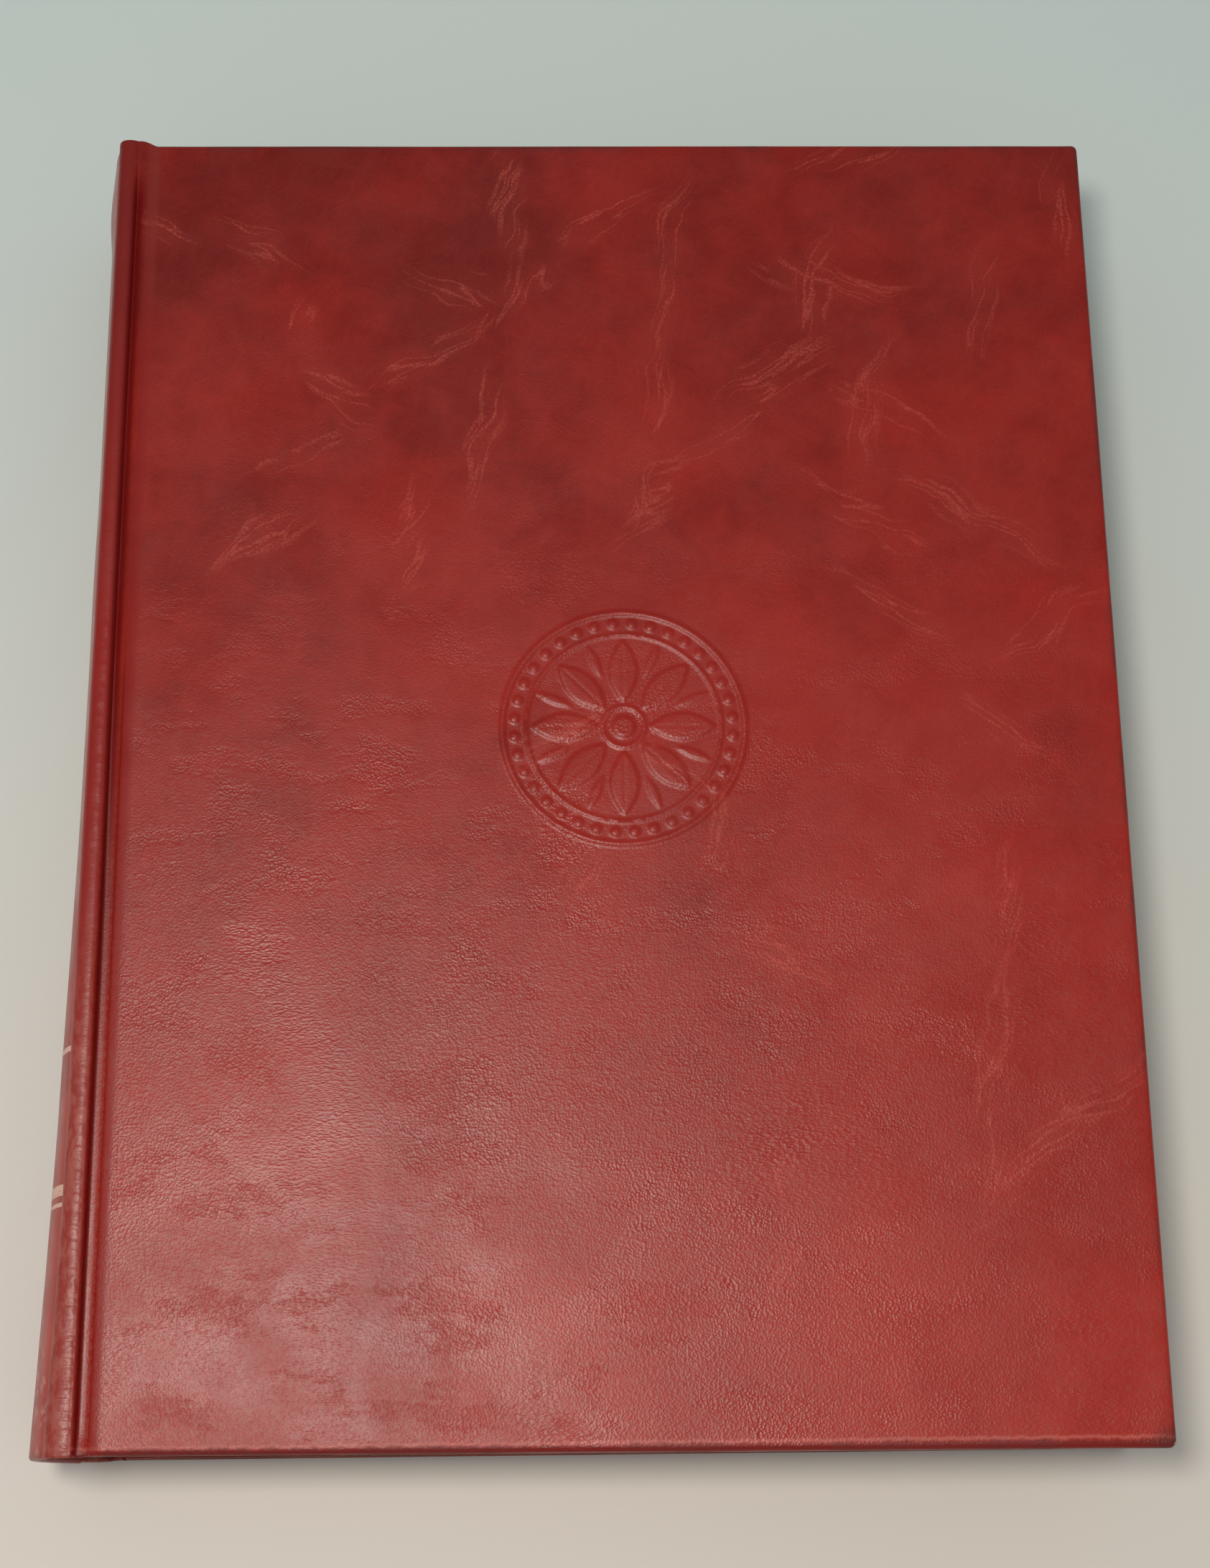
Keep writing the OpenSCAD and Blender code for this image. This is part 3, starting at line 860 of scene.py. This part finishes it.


# Colours of the covers' leather: clouds, grime with painted sheen, and streaks, then its worn edges
# with a painted highlight and painted shade along the tail, and the joint with painted shade, glints
# and sheen

CLOUD_DARK = srgb(108, 15, 8)
CLOUD_MID = srgb(148, 26, 15)
CLOUD_LIGHT = srgb(166, 43, 29)
SPECKLE = srgb(84, 12, 9)
GRIME_AND_SHEEN = srgb(142, 82, 68)
STREAK = srgb(204, 96, 78)
SOOT = srgb(72, 24, 20)
TAIL_HIGHLIGHT_LINE = srgb(206, 120, 108)
TAIL_SHADE_STRIP = srgb(104, 18, 14)
CORNER_DARK = srgb(92, 30, 24)
CORNER_BARE = srgb(168, 148, 136)
PRESSED_SHADE = srgb(130, 22, 17)
PRESSED_SHEEN_AT_HEAD = srgb(116, 50, 42)
GROOVE_SHADE = srgb(104, 9, 6)
GROOVE_WALL_GLINT = srgb(196, 100, 88)
RIDGE_SHEEN_DARK = srgb(140, 52, 44)
RIDGE_SHEEN_LIGHT = srgb(158, 88, 76)
RIDGE_MID = srgb(136, 27, 21)
RIDGE_SHADE_HIGH = srgb(112, 22, 18)

# Streaks: how far a course wanders and trembles, its filaments' length, fineness and width,
# the half width of a bundle, and how far it runs past its course
WANDER = 16
TREMBLE = 1.6
THREAD_STRETCH = 0.032
THREAD_FINENESS = 0.28
THREAD_W = 0.045
FAINT_THREADS = 0.12
BUNDLE_W = 4.5
BUNDLE_END = 5

# Courses of the pale streaks through the leather's clouds, from (x, y) to (x, y), by the lean
# of their filaments in degrees
VEINS = {
    72: (
        (90, 254, 78, 239), (40, 245, 39, 231), (78, 227, 76, 199), (123, 276, 116, 236),
        (116, 238, 107, 186), (190, 258, 186, 233), (187, 122, 186, 98), (185, 98, 176, 42),
        (137, 55, 138, 29), (83, 282, 85, 256), (60, 200, 64, 178), (156, 262, 150, 238),
        (207, 279, 209, 262), (98, 122, 104, 108), (126, 116, 129, 130), (168, 232, 160, 208),
    ),
    32: (
        (78, 239, 54, 224), (153, 232, 118, 207), (118, 209, 105, 188), (196, 66, 176, 42),
        (149, 280, 168, 284), (212, 76, 184, 52), (100, 150, 84, 138), (30, 205, 46, 214),
        (130, 224, 152, 236), (188, 165, 207, 176), (96, 262, 112, 272), (20, 184, 40, 192),
    ),
    -28: (
        (39, 231, 52, 218), (158, 222, 179, 212), (149, 205, 170, 186), (168, 202, 200, 184),
        (140, 255, 170, 250), (132, 100, 146, 91), (1, 268, 13, 261), (155, 179, 171, 168),
        (112, 142, 130, 128), (178, 150, 196, 138), (20, 265, 36, 256), (62, 252, 80, 246),
    ),
}


def veins(n, place):
    """Wispy streaks: bundles of fine filaments along each course."""
    wander = n.vector("SCALE", n.noise_vector(place, 0.035, 2), WANDER)
    tremble = n.vector("SCALE", n.noise_vector(place, 0.2, 1), TREMBLE)
    place = n.vector("ADD", n.vector("ADD", place, wander), tremble)
    x, y, _ = n.axes(place)
    flat = n.combine(x, y, 1.0)
    total = 0.0
    for lean, courses in VEINS.items():
        angle = math.radians(lean)
        ux, uy = math.cos(angle), math.sin(angle)
        u = n.dot(flat, (ux * THREAD_STRETCH, uy * THREAD_STRETCH, lean))
        v = n.dot(flat, (-uy * THREAD_FINENESS, ux * THREAD_FINENESS, 0))
        field = n.noise(n.combine(u, v, 0.0), 1.0, 2, 0.55)
        off_middle = n.math("ABSOLUTE", n.math("SUBTRACT", field, 0.5))
        thread = n.ramp(off_middle, 0.0, THREAD_W, 1.0, 0.0)
        nearest = 4.0
        for x0, y0, x1, y1 in courses:
            length = math.hypot(x1 - x0, y1 - y0)
            tx, ty = (x1 - x0) / length, (y1 - y0) / length
            reach_u, reach_v = length / 2 + BUNDLE_END, BUNDLE_W
            mx, my = (x0 + x1) / 2, (y0 + y1) / 2
            a = n.dot(flat, (tx / reach_u, ty / reach_u, -(tx * mx + ty * my) / reach_u))
            b = n.dot(flat, (-ty / reach_v, tx / reach_v, (ty * mx - tx * my) / reach_v))
            nearest = n.math("MINIMUM", nearest, n.math("MULTIPLY_ADD", a, a, n.times(b, b)))
        bundle = n.ramp(nearest, 0.1, 1.0, 1.0, FAINT_THREADS)
        body = n.ramp(nearest, 0.0, 1.3, 0.2, 0.0)
        total = n.math("MAXIMUM", total, n.add(n.times(bundle, thread), body))
    return total


def mottled(n, place, x, y):
    """Base colour: low clouds over a slow drift from dark at the head's left to bright."""
    cloud = n.noise(place, 0.022, 2, 0.5, 0.3)
    wisps = n.noise(place, 0.12, 3, 0.6, 0.5)
    tone = n.add(n.times(cloud, 0.65), n.times(wisps, 0.35))
    drift = n.math("SUBTRACT", n.times(x, 0.12 / COVER_W), n.times(y, 0.4 / COVER_H))
    tone = n.add(n.add(tone, drift), 0.08)
    base = n.colour(n.ramp(tone, 0.05, 0.55), CLOUD_DARK, CLOUD_MID)
    base = n.colour(n.ramp(tone, 0.45, 0.95), base, CLOUD_LIGHT)
    speckle = n.ramp(n.noise(place, 1.6, 3, 0.7), 0.35, 0.7)
    return n.colour(n.times(speckle, 0.14), base, SPECKLE)


def edge_wear_and_painted_light(n, p, x, y, base):
    """Sooty edges, a dark strip of painted shade and a pale line of painted highlight along the tail,
    and a bare corner.
    """
    right = n.math("SUBTRACT", COVER_W, x)
    top = n.math("SUBTRACT", COVER_H, y)
    ragged = n.noise(p, 0.5, 3, 0.6)
    to_edge = n.math("MINIMUM", right, n.math("MINIMUM", top, y))
    rub = n.ramp(n.add(to_edge, n.times(ragged, 2.4)), 1.6, 3.4, 1.0, 0.0)
    rub = n.times(rub, n.ramp(n.noise(p, 0.06, 2), 0.4, 0.62))
    base = n.colour(n.times(rub, 0.4), base, SOOT)
    # Painted highlight: a pale line just inside the tail edge; painted shade: a dark strip over its
    # rounded edge
    low = n.add(y, n.times(ragged, 1.2))
    base = n.colour(n.times(n.between(low, 1.75, 2.35, 0.3), 0.3), base, TAIL_HIGHLIGHT_LINE)
    base = n.colour(n.ramp(low, 1.1, 1.8, 0.75, 0.0), base, TAIL_SHADE_STRIP)
    corner = n.vector("SUBTRACT", p, (COVER_W, 0, BOOK_T))
    corner = n.math("SQRT", n.dot(n.vector("MULTIPLY", corner, corner), (1, 1, 0)))
    corner = n.add(corner, n.times(ragged, 3))
    base = n.colour(n.ramp(corner, 2.5, 8.0, 0.7, 0.0), base, CORNER_DARK)
    return n.colour(n.ramp(corner, 1.9, 2.6, 0.8, 0.0), base, CORNER_BARE), rub


def along_joint(n, p, x, y, ridge, base):
    """The pressed band beside the joint, the groove's floor and wall, and the ridge, with painted
    shade, glints and sheen on them.
    """
    # Painted shade: the pressed band darker red, as it lacks the sheen; towards the head a painted
    # brownish sheen
    press = n.between(x, GROOVE_LAND, GROOVE_LAND + PRESS_W + 0.4, 0.7)
    pressed_shade_and_sheen = n.colour(n.ramp(y, 225, 280, 0.0, 0.5), PRESSED_SHADE, PRESSED_SHEEN_AT_HEAD)
    base = n.colour(n.times(press, 0.6), base, pressed_shade_and_sheen)
    # Painted shade down the groove's floor, narrowing towards the tail and fading at the head
    from_ridge = n.ramp(n.add(x, n.ramp(y, 110, 200, 0.0, 0.8)), -1.75, -0.7)
    from_rim = n.math("SUBTRACT", x, n.ramp(y, 40, 170, -0.1, 0.75))
    floor = n.times(from_ridge, n.ramp(from_rim, -0.6, 0.5, 1.0, 0.0))
    floor = n.times(floor, n.ramp(y, COVER_H - 16, COVER_H - 7, 1.0, 0.0))
    base = n.colour(n.times(floor, 0.85), base, GROOVE_SHADE)
    # Painted glints: a broken pale line on the groove's wall, fading towards the head
    glint_speckle = n.ramp(n.noise(p, 1.9, 2, 0.7), 0.45, 0.62)
    wall_glint = n.times(n.between(x, 1.2, 1.8, 0.3), n.times(glint_speckle, n.ramp(y, 60, 130, 1.0, 0.1)))
    base = n.colour(n.times(wall_glint, 0.3), base, GROOVE_WALL_GLINT)
    # Painted sheen on the ridge: brownish streaks towards the tail; painted shade: darker red along
    # its upper part
    ridge_sheen_streaks = n.noise(n.vector("MULTIPLY", p, (0.7, 0.3, 0.7)), 1.0, 2, 0.6)
    wear_and_sheen = n.colour(n.ramp(ridge_sheen_streaks, 0.35, 0.65), RIDGE_SHEEN_DARK, RIDGE_SHEEN_LIGHT)
    ridged = n.colour(n.ramp(y, 60, 120, 0.8, 0.0), RIDGE_MID, wear_and_sheen)
    ridged = n.colour(n.ramp(y, 170, 270, 0.0, 0.8), ridged, RIDGE_SHADE_HIGH)
    return n.colour(n.times(ridge, 0.85), base, ridged)


def grained(n, p, x, y, ridge):
    """Height of the grain: fine granules all over, pebbles in patches, wrinkles on the ridge."""
    jitter = n.vector("ADD", p, n.noise_vector(p, 0.5, 1))
    pebbles = n.cells(jitter, 1.7)
    long_pebbles = n.cells(n.vector("MULTIPLY", jitter, (0.62, 1.45, 1)), 1.4)
    kind = n.ramp(n.noise(p, 0.03, 1), 0.36, 0.46)
    grain = n.math("MULTIPLY_ADD", n.math("SUBTRACT", long_pebbles, pebbles), kind,
                   n.math("SUBTRACT", 1.0, long_pebbles))
    lower = n.ramp(y, 70, 170, 0.38, 0.06)
    patch = n.noise(n.vector("MULTIPLY", p, (0.7, 1.3, 1)), 0.07, 3, 0.65)
    patch = n.ramp(n.add(patch, n.times(lower, 0.06)), 0.47, 0.62)
    amount = n.math("MAXIMUM", n.times(patch, n.ramp(y, 120, 215, 0.65, 0.3)), lower)
    off_joint = n.ramp(x, GROOVE_LAND + 1.6, GROOVE_LAND + 3)
    granules = n.times(n.noise(p, 2.4, 2, 0.6), 0.42)
    wrinkles = n.noise(n.vector("MULTIPLY", p, (0.3, 0.8, 0.3)), 1.0, 1)
    wrinkles = n.times(n.times(wrinkles, ridge), n.ramp(y, 5, 110, 2.6, 0.5))
    return n.add(n.add(n.times(n.times(grain, amount), off_joint), granules), wrinkles)


def red_leather():
    n = Nodes("red_leather")
    p = n.book_place()
    x, y, _ = n.axes(p)
    base = mottled(n, p, x, y)
    # Grime and painted sheen: a pale, patchy wash over the lower left, where the lamp's sheen falls
    grime_and_sheen = n.ramp(n.noise(p, 0.8, 3, 0.7), 0.42, 0.66)
    grime_and_sheen = n.times(grime_and_sheen, n.times(n.ramp(y, 70, 180, 1.0, 0.0), n.ramp(x, 40, 210, 1.0, 0.3)))
    base = n.colour(n.times(grime_and_sheen, 0.34), base, GRIME_AND_SHEEN)
    grit = n.ramp(n.noise(p, 1.7, 3, 0.7), 0.4, 0.6, 0.2, 1.0)
    base = n.colour(n.times(n.times(veins(n, p), grit), 0.26), base, STREAK)
    base, rub = edge_wear_and_painted_light(n, p, x, y, base)
    ridge = n.ramp(x, -1.9, -1.2, 1.0, 0.0)
    base = along_joint(n, p, x, y, ridge, base)
    normal = n.bump(grained(n, p, x, y, ridge), 0.00011)
    rough = n.ramp(n.noise(p, 0.06, 2, 0.6), 0.3, 0.7, 0.34, 0.42)
    rough = n.add(rough, n.times(rub, 0.12))
    return n.finish(base, rough, normal, IOR=1.5, Specular_IOR_Level=0.42)


def spine_leather():
    """Smoother than the covers, with a greyish sheen along its upper part."""
    n = Nodes("spine_leather")
    p = n.book_place()
    _, y, _ = n.axes(p)
    cloud = n.noise(p, 0.05, 3, 0.55, 0.3)
    base = n.colour(n.ramp(cloud, 0.3, 0.7), srgb(150, 46, 40), srgb(172, 64, 54))
    # Painted sheen: a pale grey-pink grazing reflection in patches along the spine's upper part
    sheen_patches = n.noise(n.vector("MULTIPLY", p, (0.25, 0.12, 0.25)), 1.0, 3, 0.6)
    upper_sheen = n.times(n.ramp(y, 100, 122), n.ramp(sheen_patches, 0.3, 0.6, 0.6, 1.0))
    base = n.colour(n.times(upper_sheen, 0.62), base, srgb(178, 132, 126))
    speckle = n.ramp(n.noise(p, 1.4, 3, 0.7), 0.4, 0.7)
    base = n.colour(n.times(speckle, 0.2), base, srgb(104, 26, 24))
    scuffed = n.times(n.ramp(n.noise(p, 0.3, 2, 0.6), 0.54, 0.62), n.ramp(y, 14, 30, 1.0, 0.0))
    base = n.colour(n.times(scuffed, 0.35), base, srgb(206, 150, 136))
    ends = n.math("MINIMUM", n.math("SUBTRACT", y, TAIL_END), n.math("SUBTRACT", HEAD_END, y))
    rub = n.ramp(n.add(ends, n.times(n.noise(p, 0.4, 3, 0.6), 3)), 1.8, 4.2, 1.0, 0.0)
    base = n.colour(n.times(rub, 0.5), base, srgb(98, 32, 26))
    normal = n.bump(n.noise(p, 2.4, 2, 0.6), 0.00005)
    rough = n.ramp(n.noise(p, 0.1, 3, 0.6), 0.3, 0.7, 0.3, 0.42)
    return n.finish(base, rough, normal, IOR=1.5, Specular_IOR_Level=0.5)


def worn_gilt():
    """Gold rubbed down to a pale pinkish line, with the leather showing through."""
    n = Nodes("worn_gilt")
    p = n.book_place()
    wear_and_sheen = n.noise(n.vector("MULTIPLY", p, (0.5, 1.2, 0.5)), 1.3, 4, 0.7)
    base = n.colour(n.ramp(wear_and_sheen, 0.52, 0.74), srgb(224, 176, 158), srgb(176, 84, 70))
    shine = n.ramp(wear_and_sheen, 0.52, 0.74, 0.25, 0.0)
    n.link(shine, n.shader.inputs["Metallic"])
    return n.finish(base, 0.4, n.bump(wear_and_sheen, 0.00003))


def paper(name, tone):
    n = Nodes(name, "object")
    spots = n.ramp(n.noise(n.place, 90, 4, 0.6), 0.35, 0.75)
    base = n.colour(n.times(spots, 0.25), tone, srgb(206, 184, 146))
    fibres = n.noise(n.place, 1500, 3, 0.6)
    return n.finish(base, 0.85, n.bump(fibres, 0.00003))


def page_edges():
    n = Nodes("page_edges")
    _, _, z = n.axes()
    sheet = n.math("FRACT", n.times(z, 9000))
    stripe = n.ramp(n.math("ABSOLUTE", n.math("SUBTRACT", sheet, 0.5)), 0.1, 0.5)
    streak = n.noise(n.vector("MULTIPLY", n.place, (12, 12, 2600)), 1.0, 3, 0.6)
    base = n.colour(n.ramp(streak, 0.3, 0.7), srgb(226, 208, 172), srgb(190, 164, 122))
    base = n.colour(n.times(stripe, 0.25), base, srgb(150, 124, 88))
    stain = n.ramp(n.noise(n.place, 40, 4, 0.6), 0.5, 0.8)
    base = n.colour(n.times(stain, 0.35), base, srgb(160, 128, 84))
    height = n.add(stripe, n.times(streak, 1.5))
    return n.finish(base, 0.8, n.bump(height, 0.00005))


def grey_board():
    n = Nodes("grey_board", "object")
    flecks = n.noise(n.place, 900, 4, 0.7)
    base = n.colour(n.ramp(flecks, 0.3, 0.7), srgb(120, 106, 86), srgb(168, 152, 124))
    return n.finish(base, 0.9, n.bump(flecks, 0.00008))


def lining_cloth():
    n = Nodes("lining_cloth", "object")
    _, y, z = n.axes()
    weave = n.times(n.math("SINE", n.times(y, 5200)), n.math("SINE", n.times(z, 5200)))
    base = n.colour(n.ramp(weave, -0.5, 0.5), srgb(176, 158, 122), srgb(214, 200, 168))
    return n.finish(base, 0.9, n.bump(weave, 0.0001))


def band_cloth():
    n = Nodes("band_cloth", "object")
    _, _, z = n.axes()
    threads = n.math("SINE", n.times(z, 2 * math.pi / 0.0016))
    base = n.colour(n.ramp(threads, -0.15, 0.15), srgb(150, 34, 28), srgb(214, 196, 150))
    return n.finish(base, 0.75, n.bump(threads, 0.0002))


def floor_material():
    n = Nodes("pale_floor", "object")
    _, y, _ = n.axes()
    base = n.colour(n.ramp(y, -0.25, 0.2), FLOOR_NEAR, FLOOR_FAR)
    return n.finish(base, 0.55)


# Stage, lights and camera

FLOOR_SIZE = 6.0
FLOOR_NEAR = srgb(210, 200, 190)
FLOOR_FAR = srgb(192, 202, 197)
KEY_AT = (-0.132, -0.095, 0.75)
KEY_SIZE = 0.14
KEY_POWER = 2.95
KEY_TINT = (1, 0.95, 0.88)
SKY_TINT = (0.95, 0.98, 1.0, 1)
SKY_STRENGTH = 0.55
SKY_IN_GLOSS = 0.1
SENSOR_MM = 36
IMAGE = (1685, 2184)
FOCAL_PX = 3400
CAMERA_AT = (-0.00768, -0.15709, 0.52954)
CAMERA_TURN = (16.927, -1.059, -0.686)


def stage():
    bpy.ops.mesh.primitive_plane_add(size=FLOOR_SIZE, location=(0, 0, 0))
    floor = bpy.context.object
    floor.name = "floor"
    floor.data.materials.append(floor_material())


def key_lamp():
    """One soft disk high over the spine, towards the tail, turned to the middle of the book."""
    data = bpy.data.lights.new("key", "AREA")
    data.shape = "DISK"
    data.size = KEY_SIZE
    data.energy = KEY_POWER
    data.color = KEY_TINT
    obj = bpy.data.objects.new("key", data)
    obj.location = KEY_AT
    obj.rotation_euler = (-Vector(KEY_AT)).to_track_quat("-Z", "Y").to_euler()
    bpy.context.scene.collection.objects.link(obj)


def sky():
    """Even light from all round, which mirrored rays meet as a dim room."""
    world = bpy.data.worlds.new("studio")
    world.use_nodes = True
    tree = world.node_tree
    background = tree.nodes["Background"]
    background.inputs["Color"].default_value = SKY_TINT
    path = tree.nodes.new("ShaderNodeLightPath")
    dim = tree.nodes.new("ShaderNodeMapRange")
    dim.inputs["To Min"].default_value = SKY_STRENGTH
    dim.inputs["To Max"].default_value = SKY_IN_GLOSS
    tree.links.new(path.outputs["Is Glossy Ray"], dim.inputs["Value"])
    tree.links.new(dim.outputs["Result"], background.inputs["Strength"])
    bpy.context.scene.world = world


def camera():
    data = bpy.data.cameras.new("camera")
    data.sensor_fit = "VERTICAL"
    data.sensor_width = SENSOR_MM
    data.sensor_height = SENSOR_MM
    data.lens = FOCAL_PX / IMAGE[1] * SENSOR_MM
    data.clip_start = 0.01
    obj = bpy.data.objects.new("camera", data)
    obj.location = CAMERA_AT
    obj.rotation_euler = [math.radians(a) for a in CAMERA_TURN]
    bpy.context.scene.collection.objects.link(obj)
    bpy.context.scene.camera = obj


def dress(node, material):
    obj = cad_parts[node]
    obj.data.materials.clear()
    obj.data.materials.append(material)


bpy.context.scene.view_settings.view_transform = "Standard"
camera()
stage()
key_lamp()
sky()

leather = red_leather()
cream = paper("endpaper_cream", srgb(228, 214, 186))
board = grey_board()

front = cover_leather("front", leather)
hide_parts("front_cover_leather")
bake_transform(front)

back = cover_leather("back", leather)
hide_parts("back_cover_leather")
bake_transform(back)

panel = spine_panel(spine_leather())
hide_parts("spine_leather")
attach(panel, "block")

lines = gilt_lines(worn_gilt())
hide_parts("gilt_bands")
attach(lines, "block")

block = leaves(page_edges())
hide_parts("text_block")
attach(block, "block")

for name in ("front_flyleaf", "back_flyleaf", "front_pastedown", "back_pastedown"):
    dress(name, cream)
card = inlay_card(board)
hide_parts("spine_inlay")
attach(card, "block")

for name in ("front_board", "back_board"):
    dress(name, board)
dress("spine_lining", lining_cloth())
stripes = band_cloth()
for name in ("headband", "tailband"):
    dress(name, stripes)
